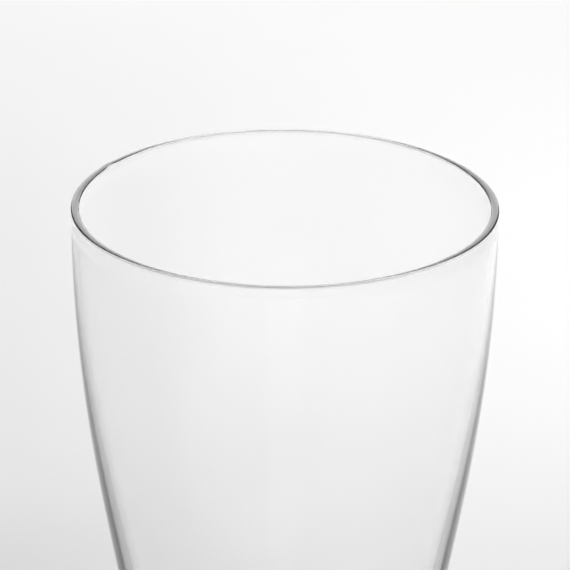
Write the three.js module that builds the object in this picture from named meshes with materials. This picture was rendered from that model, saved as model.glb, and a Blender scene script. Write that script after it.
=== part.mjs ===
// A bar mixing glass, made in one seamless piece of clear glass.
// Millimetres, +Z up, origin at the centre of the plane that the foot stands on.
//
// The glass is a solid of revolution. Its wall swells in one S-shaped curve from a narrow, heavy foot
// to a wide mouth, is thickest at the foot and thinnest under the rim, and ends in a fire-polished bead.

import * as THREE from 'three';

// ---- Driving dimensions ----

const HEIGHT = 150;
const RIM_RADIUS = 45; // outside of the bead, the widest place of the glass
const FOOT_RADIUS = 28.95; // outside of the wall, just above the heel

const RIM_WALL = 1.4; // wall thickness just below the rim
const FOOT_WALL = 3.8; // wall thickness just above the heel, were the bowl that deep
const BEAD_HALF_WIDTH = 0.9; // half the thickness of the rim's edge, which is thicker than the wall
const BEAD_RISE = 0.58; // from the edge's thickest level up to its top, which is rather flat
const BEAD_SQUARENESS = 2.2; // exponent of its outline: 2 is an ellipse, more is squarer
const BEAD_OVERHANG = 0.05; // how far the bead stands out from the wall outside
const RIM_TAPER = 4; // height below the bead's middle over which the wall thickens into it

const HEEL_RADIUS = 4; // round between the wall and the foot's underside
const FOOT_RING_INNER_RADIUS = 18; // inside edge of the flat ring that the glass stands on
const PUNT_DEPTH = 1.2; // the hollow under the middle of the foot

const FLOOR_THICKNESS = 14; // solid glass between the bowl's lowest point and the resting plane
const FLOOR_DISH = 0.8; // how much lower the bowl's middle is than its floor's edge
const FLOOR_CORNER_RADIUS = 7; // round between the bowl's floor and its wall

// Lengths of the S-curve's two handles. Both stand upright, so the wall leaves the heel and meets the
// rim vertically.
const LOWER_HANDLE = 53.6;
const UPPER_HANDLE = 65.6;

// ---- Fineness ----

const AROUND = 72;
const WALL_STEPS = 12;
const TAPER_STEPS = 3;
const BEAD_STEPS = 8;
const HEEL_STEPS = 4;
const CORNER_STEPS = 4;

const clearGlass = new THREE.MeshStandardMaterial({
  name: 'clear_glass',
  color: 0xf4f7f7,
  roughness: 0.03,
  metalness: 0,
  transparent: true,
  opacity: 0.35,
});

const wallMouthRadius = RIM_RADIUS - BEAD_OVERHANG;
const beadCentre = new THREE.Vector2(RIM_RADIUS - BEAD_HALF_WIDTH, HEIGHT - BEAD_RISE);

// One face of the wall as (radius, height), from the top of the heel up to the bead's middle.
function wallCurve(footRadius, mouthRadius) {
  return new THREE.CubicBezierCurve(
    new THREE.Vector2(footRadius, HEEL_RADIUS),
    new THREE.Vector2(footRadius, HEEL_RADIUS + LOWER_HANDLE),
    new THREE.Vector2(mouthRadius, beadCentre.y - UPPER_HANDLE),
    new THREE.Vector2(mouthRadius, beadCentre.y),
  );
}

const outerWall = wallCurve(FOOT_RADIUS, wallMouthRadius);
const innerWall = wallCurve(FOOT_RADIUS - FOOT_WALL, wallMouthRadius - RIM_WALL);

// How far along the curve, from 0 to 1, it passes a height. The curve only ever rises.
function shareAtHeight(curve, height) {
  let low = 0;
  let high = 1;
  for (let i = 0; i < 40; i++) {
    const middle = (low + high) / 2;
    if (curve.getPoint(middle).y < height) low = middle;
    else high = middle;
  }
  return (low + high) / 2;
}

// How far the thicker rim stands out from a face of the wall, at a depth below the bead's middle.
function swell(amount, depth) {
  const share = THREE.MathUtils.clamp(depth / RIM_TAPER, 0, 1);
  return amount * (1 - share) ** 2 * (1 + 2 * share);
}

// A face of the wall from a height up to the bead's middle, where it stands out by rimOffset.
function wallFace(curve, low, rimOffset) {
  const taperStart = beadCentre.y - RIM_TAPER;
  const start = shareAtHeight(curve, low);
  const end = shareAtHeight(curve, taperStart);
  const points = [];
  for (let i = 0; i <= WALL_STEPS; i++) {
    points.push(curve.getPoint(THREE.MathUtils.lerp(start, end, i / WALL_STEPS)));
  }
  for (let i = 1; i <= TAPER_STEPS; i++) {
    const height = THREE.MathUtils.lerp(taperStart, beadCentre.y, i / TAPER_STEPS);
    const radius = curve.getPoint(shareAtHeight(curve, height)).x;
    points.push(new THREE.Vector2(radius + swell(rimOffset, beadCentre.y - height), height));
  }
  return points;
}

// An arc between two angles in radians, measured from straight outwards towards straight up.
function arc(centreRadius, centreHeight, arcRadius, from, to, steps) {
  const points = [];
  for (let i = 0; i <= steps; i++) {
    const angle = THREE.MathUtils.lerp(from, to, i / steps);
    const radius = centreRadius + arcRadius * Math.cos(angle);
    const height = centreHeight + arcRadius * Math.sin(angle);
    points.push(new THREE.Vector2(radius, height));
  }
  return points;
}

// A shallow parabolic dish, from the axis out to its edge.
function dish(edgeRadius, edgeHeight, axisHeight) {
  const halfwayHeight = THREE.MathUtils.lerp(axisHeight, edgeHeight, 0.25);
  return [
    new THREE.Vector2(0, axisHeight),
    new THREE.Vector2(edgeRadius / 2, halfwayHeight),
    new THREE.Vector2(edgeRadius, edgeHeight),
  ];
}

// The punt, the resting ring, the heel and the outside of the wall, up to the bead.
function outerProfile() {
  const heelCentreRadius = FOOT_RADIUS - HEEL_RADIUS;
  return [
    ...dish(FOOT_RING_INNER_RADIUS, 0, PUNT_DEPTH),
    ...arc(heelCentreRadius, HEEL_RADIUS, HEEL_RADIUS, -Math.PI / 2, 0, HEEL_STEPS),
    ...wallFace(outerWall, HEEL_RADIUS, BEAD_OVERHANG).slice(1, -1),
  ];
}

// The rounded rim, over the top from its outermost point to its innermost: a half superellipse.
function beadProfile() {
  const power = 2 / BEAD_SQUARENESS;
  const points = [];
  for (let i = 0; i <= BEAD_STEPS; i++) {
    const angle = (Math.PI * i) / BEAD_STEPS;
    const across = Math.sign(Math.cos(angle)) * Math.abs(Math.cos(angle)) ** power;
    const up = Math.abs(Math.sin(angle)) ** power;
    points.push(new THREE.Vector2(
      beadCentre.x + BEAD_HALF_WIDTH * across,
      beadCentre.y + BEAD_RISE * up,
    ));
  }
  return points;
}

// The inside of the wall and the bowl's floor, from the bead down to the axis.
function innerProfile() {
  const floorEdge = FLOOR_THICKNESS + FLOOR_DISH;
  const cornerTop = floorEdge + FLOOR_CORNER_RADIUS;
  const face = wallFace(innerWall, cornerTop, BEAD_OVERHANG + RIM_WALL - 2 * BEAD_HALF_WIDTH);
  const floorRadius = face[0].x - FLOOR_CORNER_RADIUS;
  return [
    ...face.slice(1, -1).reverse(),
    ...arc(floorRadius, cornerTop, FLOOR_CORNER_RADIUS, 0, -Math.PI / 2, CORNER_STEPS),
    ...dish(floorRadius, floorEdge, FLOOR_THICKNESS).slice(0, -1).reverse(),
  ];
}

// The profile runs up the outside and down the inside, so that the surface faces outwards.
function glassBody() {
  const profile = [...outerProfile(), ...beadProfile(), ...innerProfile()];
  const mesh = new THREE.Mesh(new THREE.LatheGeometry(profile, AROUND), clearGlass);
  mesh.name = 'glass_body';
  mesh.rotation.x = Math.PI / 2; // a lathe turns about Y, and the glass stands along Z
  return mesh;
}

const mixingGlass = new THREE.Group();
mixingGlass.name = 'mixing_glass';
mixingGlass.add(glassBody());

export default mixingGlass;
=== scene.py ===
import math

import bpy
import numpy as np
from mathutils import Euler, Matrix, Vector


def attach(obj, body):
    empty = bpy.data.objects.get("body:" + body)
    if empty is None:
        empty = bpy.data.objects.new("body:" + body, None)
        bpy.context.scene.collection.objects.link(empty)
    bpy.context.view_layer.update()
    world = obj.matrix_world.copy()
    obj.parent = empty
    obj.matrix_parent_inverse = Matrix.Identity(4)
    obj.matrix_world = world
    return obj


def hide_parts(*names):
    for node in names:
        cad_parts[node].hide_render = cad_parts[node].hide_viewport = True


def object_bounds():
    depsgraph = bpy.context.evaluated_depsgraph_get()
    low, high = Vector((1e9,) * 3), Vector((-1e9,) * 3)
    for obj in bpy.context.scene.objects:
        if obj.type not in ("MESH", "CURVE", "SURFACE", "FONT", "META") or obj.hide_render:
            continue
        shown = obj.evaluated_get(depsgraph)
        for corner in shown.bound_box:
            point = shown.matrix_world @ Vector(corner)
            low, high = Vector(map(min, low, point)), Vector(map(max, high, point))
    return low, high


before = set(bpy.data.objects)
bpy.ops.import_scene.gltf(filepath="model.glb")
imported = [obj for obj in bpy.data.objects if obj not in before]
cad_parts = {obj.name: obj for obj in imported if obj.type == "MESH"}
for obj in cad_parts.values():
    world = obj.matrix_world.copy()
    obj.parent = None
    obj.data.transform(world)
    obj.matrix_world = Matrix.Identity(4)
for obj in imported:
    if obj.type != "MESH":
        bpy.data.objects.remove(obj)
cad_low, cad_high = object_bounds()

MM = 0.001

# ---- Glass, in millimetres, with the dimensions of its CAD model ----

HEIGHT = (cad_high.z - cad_low.z) / MM
RIM_RADIUS = (cad_high.x - cad_low.x) / MM / 2  # outside of the bead, the widest place of the glass
FOOT_RADIUS = 28.95  # outside of the wall, just above the heel

RIM_WALL = 1.4  # wall thickness just below the rim
FOOT_WALL = 3.8  # wall thickness just above the heel, were the bowl that deep
BEAD_HALF_WIDTH = 0.9  # half the thickness of the rim's edge, which is thicker than the wall
BEAD_RISE = 0.58  # from the edge's thickest level up to its top, which is rather flat
BEAD_SQUARENESS = 2.2  # exponent of its outline: 2 is an ellipse, more is squarer
BEAD_OVERHANG = 0.05  # how far the bead stands out from the wall outside
RIM_TAPER = 4.0  # height below the bead's middle over which the wall thickens into it

HEEL_RADIUS = 4.0  # round between the wall and the foot's underside
FOOT_RING_INNER_RADIUS = 18.0  # inside edge of the flat ring that the glass stands on
PUNT_DEPTH = 1.2  # the hollow under the middle of the foot

FLOOR_THICKNESS = 14.0  # solid glass between the bowl's lowest point and the resting plane
FLOOR_DISH = 0.8  # how much lower the bowl's middle is than its floor's edge
FLOOR_CORNER_RADIUS = 7.0  # round between the bowl's floor and its wall

# Lengths of the S-curve's two handles. Both stand upright, so the wall leaves the heel and meets the
# rim vertically.
LOWER_HANDLE = 53.6
UPPER_HANDLE = 65.6

BEAD_CENTRE_RADIUS = RIM_RADIUS - BEAD_HALF_WIDTH
BEAD_CENTRE_HEIGHT = HEIGHT - BEAD_RISE
WALL_MOUTH_RADIUS = RIM_RADIUS - BEAD_OVERHANG

# A small lump in the fire-polished rim, at the back on the left. Seen from the front, it rises slowly
# on its left and drops quickly on its right.
LUMP_AZIMUTH = math.radians(148.2)
LUMP_HEIGHT = 0.19  # how far it stands out from the rim at its peak
LUMP_RISE = 2.2  # its reach along the rim on the slow side
LUMP_DROP = 1.3  # and on the quick side
LUMP_DEPTH = 2.0  # how far below the bead's middle it has faded out

# ---- Fineness of the mesh ----

AROUND = 288
LUMP_SPAN = math.radians(8)  # to each side of the lump, where the steps round the glass are finer
LUMP_STEP = math.radians(0.4)
WALL_STEPS = 96
TAPER_STEPS = 14
BEAD_STEPS = 32
HEEL_STEPS = 12
CORNER_STEPS = 16
DISH_STEPS = 10
RING_STEPS = 4
CURVE_SAMPLES = 4001  # of the S-curve, between which its radius at a height is read off

# ---- Materials: scales of noise are in features per metre ----

GLASS_IOR = 1.51
GLASS_TINT = (0.85, 0.85, 0.85, 1)
GLASS_DENSITY = 20  # of the tint, per metre of glass
WAVE_SCALE = 70
WAVE_STRETCH = (1, 1, 0.2)  # five times longer up the wall than round it
WAVE_HEIGHT = 0.000008  # metres
FILM_SCALE = 90
FILM_ROUGHNESS = 0.012  # where the film is thickest, and none where the glass is clean

FLOOR_SPECULAR = 0.1
FLOOR_TONE_SCALE = 6
FLOOR_TONES = (0.845, 0.855)
FLOOR_GLOSS_SCALE = 40
FLOOR_ROUGHNESS = (0.85, 0.95)
FLOOR_TOOTH_SCALE = 900
FLOOR_TOOTH_HEIGHT = 0.00001  # metres

# Nearly all of a noise pattern lies between these two values.
NOISE_LOW = 0.3
NOISE_HIGH = 0.7

# ---- Floor, in metres ----

FLOOR_SIZE = 30
FLOOR_GAP = 0.0003  # how far it lies below the foot

# ---- Camera ----

# The camera is placed from a point level with the rim, which lies this far below the rim's top and this
# far to the right of the glass's axis, in millimetres.
AIM_DEPTH = 0.715
SIDE_STEP = 0.1
CAMERA_DISTANCE = 0.95  # metres from that point
CAMERA_ELEVATION = math.radians(21.88)  # above that point
CAMERA_PITCH = math.radians(22.858)  # how far below level it looks
CAMERA_ROLL = math.radians(0.351)
LENS_MM = 285.7
SENSOR_MM = 36

# ---- Lights ----

AMBIENT_STRENGTH = 0.3
FULL_SPREAD = 180
UPPER_GLASS = (0, 0, 0.1)  # a point inside the bowl

# Name, place, point that it faces, width and height in metres, power in watts, spread in degrees. Those
# with a narrow spread even out the tone of the floor before the glass, beyond it and on its right.
LIGHTS = [
    ("back", (0, 1.8, 0.8), UPPER_GLASS, 1.6, 1.2, 15.2, FULL_SPREAD),
    ("front_left", (-0.9, -1.0, 0.8), UPPER_GLASS, 0.9, 0.9, 6.9, FULL_SPREAD),
    ("floor_front", (0.1, -1.5, 0.9), (0.05, -1.0, 0), 1.2, 0.8, 1.5, 50),
    ("floor_front_right", (0.5, -0.8, 1.0), (0.35, -0.45, 0), 0.5, 0.5, 1.5, 60),
    ("floor_far", (0, 1.1, 1.0), (0, 0.7, 0), 1.6, 0.5, 1.35, 50),
    ("floor_back", (0.05, 0.8, 1.0), (0.05, 0.45, 0), 0.35, 0.6, 0.14, 50),
    ("floor_right", (0.45, 0.3, 0.5), (0.15, 0.25, 0), 0.25, 0.25, 0.11, 60),
    ("floor_back_right", (0.3, 0.5, 0.8), (0.12, 0.25, 0), 0.25, 0.25, 0.08, 40),
]

# How often light may bounce. A path through the glass crosses many faces.
MOST_BOUNCES = 24
MOST_REFLECTIONS = 12


# ---- Profile of the glass: arrays of (radius, height) ----

def wall_curve(foot_radius, mouth_radius, share):
    """Points of one face of the wall at shares from 0, at the heel's top, to 1, at the bead's middle."""
    t = share[:, None]
    ends = np.array([
        (foot_radius, HEEL_RADIUS),
        (foot_radius, HEEL_RADIUS + LOWER_HANDLE),
        (mouth_radius, BEAD_CENTRE_HEIGHT - UPPER_HANDLE),
        (mouth_radius, BEAD_CENTRE_HEIGHT),
    ])
    return (
        (1 - t) ** 3 * ends[0]
        + 3 * (1 - t) ** 2 * t * ends[1]
        + 3 * (1 - t) * t ** 2 * ends[2]
        + t ** 3 * ends[3]
    )


def swell(amount, depth):
    """How far the thicker rim stands out from a face of the wall, at depths below the bead's middle."""
    share = np.clip(depth / RIM_TAPER, 0, 1)
    return amount * (1 - share) ** 2 * (1 + 2 * share)


def wall_face(foot_radius, mouth_radius, low, rim_offset):
    """A face of the wall from a height up to the bead's middle, evenly spaced but for the rim's taper."""
    curve = wall_curve(foot_radius, mouth_radius, np.linspace(0, 1, CURVE_SAMPLES))
    taper_start = BEAD_CENTRE_HEIGHT - RIM_TAPER
    height = np.concatenate([
        np.linspace(low, taper_start, WALL_STEPS + 1),
        np.linspace(taper_start, BEAD_CENTRE_HEIGHT, TAPER_STEPS + 1)[1:],
    ])
    radius = np.interp(height, curve[:, 1], curve[:, 0])
    return np.column_stack([radius + swell(rim_offset, BEAD_CENTRE_HEIGHT - height), height])


def arc(centre_radius, centre_height, radius, start, end, steps):
    """Points on an arc between two angles, measured from straight outwards towards straight up."""
    angle = np.linspace(start, end, steps + 1)
    return np.column_stack([
        centre_radius + radius * np.cos(angle),
        centre_height + radius * np.sin(angle),
    ])


def dish(edge_radius, edge_height, axis_height):
    """A shallow parabolic dish, from the axis out to its edge."""
    radius = np.linspace(0, edge_radius, DISH_STEPS + 1)
    return np.column_stack([
        radius,
        axis_height + (edge_height - axis_height) * (radius / edge_radius) ** 2,
    ])


def outer_profile():
    """The punt, the resting ring, the heel and the outside of the wall, up to just below the bead."""
    heel_centre = FOOT_RADIUS - HEEL_RADIUS
    punt = dish(FOOT_RING_INNER_RADIUS, 0, PUNT_DEPTH)
    ring = np.column_stack([
        np.linspace(FOOT_RING_INNER_RADIUS, heel_centre, RING_STEPS + 1),
        np.zeros(RING_STEPS + 1),
    ])
    heel = arc(heel_centre, HEEL_RADIUS, HEEL_RADIUS, -math.pi / 2, 0, HEEL_STEPS)
    wall = wall_face(FOOT_RADIUS, WALL_MOUTH_RADIUS, HEEL_RADIUS, BEAD_OVERHANG)
    return np.vstack([punt, ring[1:], heel[1:], wall[1:-1]])


def bead_profile():
    """The rim's top, a half superellipse from its outermost point to its innermost."""
    angle = np.linspace(0, math.pi, BEAD_STEPS + 1)
    across = np.cos(angle)
    up = np.clip(np.sin(angle), 0, 1)
    power = 2 / BEAD_SQUARENESS
    return np.column_stack([
        BEAD_CENTRE_RADIUS + BEAD_HALF_WIDTH * np.sign(across) * np.abs(across) ** power,
        BEAD_CENTRE_HEIGHT + BEAD_RISE * up ** power,
    ])


def inner_profile():
    """The inside of the wall and the bowl's floor, from just below the bead down to the axis."""
    floor_edge = FLOOR_THICKNESS + FLOOR_DISH
    corner_top = floor_edge + FLOOR_CORNER_RADIUS
    rim_offset = BEAD_OVERHANG + RIM_WALL - 2 * BEAD_HALF_WIDTH
    wall = wall_face(FOOT_RADIUS - FOOT_WALL, WALL_MOUTH_RADIUS - RIM_WALL, corner_top, rim_offset)
    floor_radius = wall[0, 0] - FLOOR_CORNER_RADIUS
    corner = arc(floor_radius, corner_top, FLOOR_CORNER_RADIUS, 0, -math.pi / 2, CORNER_STEPS)
    floor = dish(floor_radius, floor_edge, FLOOR_THICKNESS)
    return np.vstack([wall[::-1][1:], corner[1:], floor[::-1][1:]])


def glass_profile():
    """From the axis under the foot, up the outside, over the bead and down the inside to the axis."""
    return np.vstack([outer_profile(), bead_profile(), inner_profile()])


# ---- Mesh ----

def angles_around():
    """Angles for the lathe: even, but finer across the rim's lump."""
    even = np.linspace(0, 2 * math.pi, AROUND, endpoint=False)
    fine = np.arange(LUMP_AZIMUTH - LUMP_SPAN, LUMP_AZIMUTH + LUMP_SPAN, LUMP_STEP)
    clear = np.abs(even - LUMP_AZIMUTH) > LUMP_SPAN + LUMP_STEP / 2
    return np.sort(np.concatenate([even[clear], fine]))


def lump(angle, height):
    """How far the rim stands out at its lump: a row for each height and a column for each angle."""
    along = (angle - LUMP_AZIMUTH) * RIM_RADIUS
    reach = np.where(along > 0, LUMP_RISE, LUMP_DROP)
    depth = np.clip((BEAD_CENTRE_HEIGHT - height) / LUMP_DEPTH, 0, 1)
    return LUMP_HEIGHT * np.exp(-(along / reach) ** 2) * ((1 - depth) ** 2)[:, None]


def lathe_points(profile, angle):
    """The profile turned about Z, one height after another, and then its two ends, on the axis."""
    rows = profile[1:-1]
    radius = rows[:, 0][:, None] + lump(angle, rows[:, 1])
    x = radius * np.cos(angle)
    y = radius * np.sin(angle)
    z = np.repeat(rows[:, 1][:, None], len(angle), axis=1)
    body = np.stack([x, y, z], axis=-1).reshape(-1, 3)
    return np.vstack([body, [0, 0, profile[0, 1]], [0, 0, profile[-1, 1]]])


def lathe_faces(row_count, around):
    """Quads between one height and the next, and a fan of triangles round the axis at each end."""
    low_pole = row_count * around
    high_pole = low_pole + 1
    last = (row_count - 1) * around
    faces = []
    for i in range(around):
        j = (i + 1) % around
        faces.append((low_pole, j, i))
        for row in range(row_count - 1):
            a = row * around
            faces.append((a + i, a + j, a + around + j, a + around + i))
        faces.append((high_pole, last + i, last + j))
    return faces


def lathe(name, profile, angle):
    """Turns a profile that starts and ends on the axis into a closed mesh about Z, in metres."""
    points = lathe_points(profile, angle) * MM
    faces = lathe_faces(len(profile) - 2, len(angle))
    mesh = bpy.data.meshes.new(name)
    mesh.from_pydata(points.tolist(), [], faces)
    mesh.shade_smooth()
    mesh.update()
    piece = bpy.data.objects.new(name, mesh)
    bpy.context.scene.collection.objects.link(piece)
    return piece


# ---- Materials ----

def node_material(name):
    material = bpy.data.materials.new(name)
    material.use_nodes = True
    return material, material.node_tree.nodes, material.node_tree.links


def noise(nodes, links, scale, detail, stretch=(1, 1, 1)):
    """A noise pattern fixed to the piece, squeezed along each axis by that axis's stretch."""
    place = nodes.new("ShaderNodeTexCoord")
    squeeze = nodes.new("ShaderNodeMapping")
    squeeze.inputs["Scale"].default_value = stretch
    pattern = nodes.new("ShaderNodeTexNoise")
    pattern.inputs["Scale"].default_value = scale
    pattern.inputs["Detail"].default_value = detail
    links.new(place.outputs["Object"], squeeze.inputs["Vector"])
    links.new(squeeze.outputs["Vector"], pattern.inputs["Vector"])
    return pattern.outputs["Fac"]


def spread(nodes, links, value, low, high):
    """Maps a noise value onto the range from low to high."""
    remap = nodes.new("ShaderNodeMapRange")
    remap.inputs["From Min"].default_value = NOISE_LOW
    remap.inputs["From Max"].default_value = NOISE_HIGH
    remap.inputs["To Min"].default_value = low
    remap.inputs["To Max"].default_value = high
    links.new(value, remap.inputs["Value"])
    return remap.outputs["Result"]


def bump(nodes, links, value, height):
    """A surface normal from a noise value, where height is how high a value of one stands, in metres."""
    tilt = nodes.new("ShaderNodeBump")
    tilt.inputs["Strength"].default_value = 1
    tilt.inputs["Distance"].default_value = height
    links.new(value, tilt.inputs["Height"])
    return tilt.outputs["Normal"]


def glass_material():
    """Clear glass: long, shallow waves up the wall, and a faint film that dulls it in patches."""
    material, nodes, links = node_material("clear_glass")
    shader = nodes["Principled BSDF"]
    shader.inputs["Base Color"].default_value = (1, 1, 1, 1)
    shader.inputs["Transmission Weight"].default_value = 1
    shader.inputs["IOR"].default_value = GLASS_IOR
    waves = noise(nodes, links, WAVE_SCALE, detail=1, stretch=WAVE_STRETCH)
    links.new(bump(nodes, links, waves, WAVE_HEIGHT), shader.inputs["Normal"])
    film = noise(nodes, links, FILM_SCALE, detail=3)
    links.new(spread(nodes, links, film, 0, FILM_ROUGHNESS), shader.inputs["Roughness"])
    depth = nodes.new("ShaderNodeVolumeAbsorption")
    depth.inputs["Color"].default_value = GLASS_TINT
    depth.inputs["Density"].default_value = GLASS_DENSITY
    links.new(depth.outputs["Volume"], nodes["Material Output"].inputs["Volume"])
    return material


def floor_material():
    """A matt pale sheet, with a fine tooth and hardly any change of tone."""
    material, nodes, links = node_material("pale_floor")
    shader = nodes["Principled BSDF"]
    shader.inputs["Specular IOR Level"].default_value = FLOOR_SPECULAR
    tone = noise(nodes, links, FLOOR_TONE_SCALE, detail=2)
    links.new(spread(nodes, links, tone, *FLOOR_TONES), shader.inputs["Base Color"])
    gloss = noise(nodes, links, FLOOR_GLOSS_SCALE, detail=2)
    links.new(spread(nodes, links, gloss, *FLOOR_ROUGHNESS), shader.inputs["Roughness"])
    tooth = noise(nodes, links, FLOOR_TOOTH_SCALE, detail=2)
    links.new(bump(nodes, links, tooth, FLOOR_TOOTH_HEIGHT), shader.inputs["Normal"])
    return material


# ---- Build ----

def build_camera():
    data = bpy.data.cameras.new("camera")
    data.lens = LENS_MM
    data.sensor_width = SENSOR_MM
    camera = bpy.data.objects.new("camera", data)
    bpy.context.scene.collection.objects.link(camera)
    back = Vector((0, -math.cos(CAMERA_ELEVATION), math.sin(CAMERA_ELEVATION)))
    start = Vector((SIDE_STEP * MM, 0, (HEIGHT - AIM_DEPTH) * MM))
    camera.location = start + back * CAMERA_DISTANCE
    aim = Euler((math.pi / 2 - CAMERA_PITCH, 0, 0)).to_matrix()
    roll = Matrix.Rotation(CAMERA_ROLL, 3, "Z")
    camera.rotation_euler = (aim @ roll).to_euler()
    bpy.context.scene.camera = camera


def build_glass():
    glass = lathe("glass", glass_profile(), angles_around())
    glass.data.materials.append(glass_material())
    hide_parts("glass_body")
    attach(glass, "root")


def build_floor():
    bpy.ops.mesh.primitive_plane_add(size=FLOOR_SIZE, location=(0, 0, -FLOOR_GAP))
    floor = bpy.context.object
    floor.name = "floor"
    floor.data.materials.append(floor_material())


def build_area_light(name, location, target, width, height, power, spread_angle):
    data = bpy.data.lights.new(name, "AREA")
    data.shape = "RECTANGLE"
    data.size = width
    data.size_y = height
    data.energy = power
    data.spread = math.radians(spread_angle)
    light = bpy.data.objects.new(name, data)
    light.location = location
    aim = Vector(target) - Vector(location)
    light.rotation_euler = aim.to_track_quat("-Z", "Y").to_euler()
    light.visible_camera = False
    bpy.context.scene.collection.objects.link(light)


def build_lights():
    world = bpy.data.worlds.new("world")
    bpy.context.scene.world = world
    world.use_nodes = True
    background = world.node_tree.nodes["Background"]
    background.inputs["Color"].default_value = (1, 1, 1, 1)
    background.inputs["Strength"].default_value = AMBIENT_STRENGTH
    for light in LIGHTS:
        build_area_light(*light)


def set_up_look():
    scene = bpy.context.scene
    scene.view_settings.view_transform = "Standard"
    scene.cycles.max_bounces = MOST_BOUNCES
    scene.cycles.transmission_bounces = MOST_BOUNCES
    scene.cycles.glossy_bounces = MOST_REFLECTIONS


build_camera()
build_glass()
build_floor()
build_lights()
set_up_look()
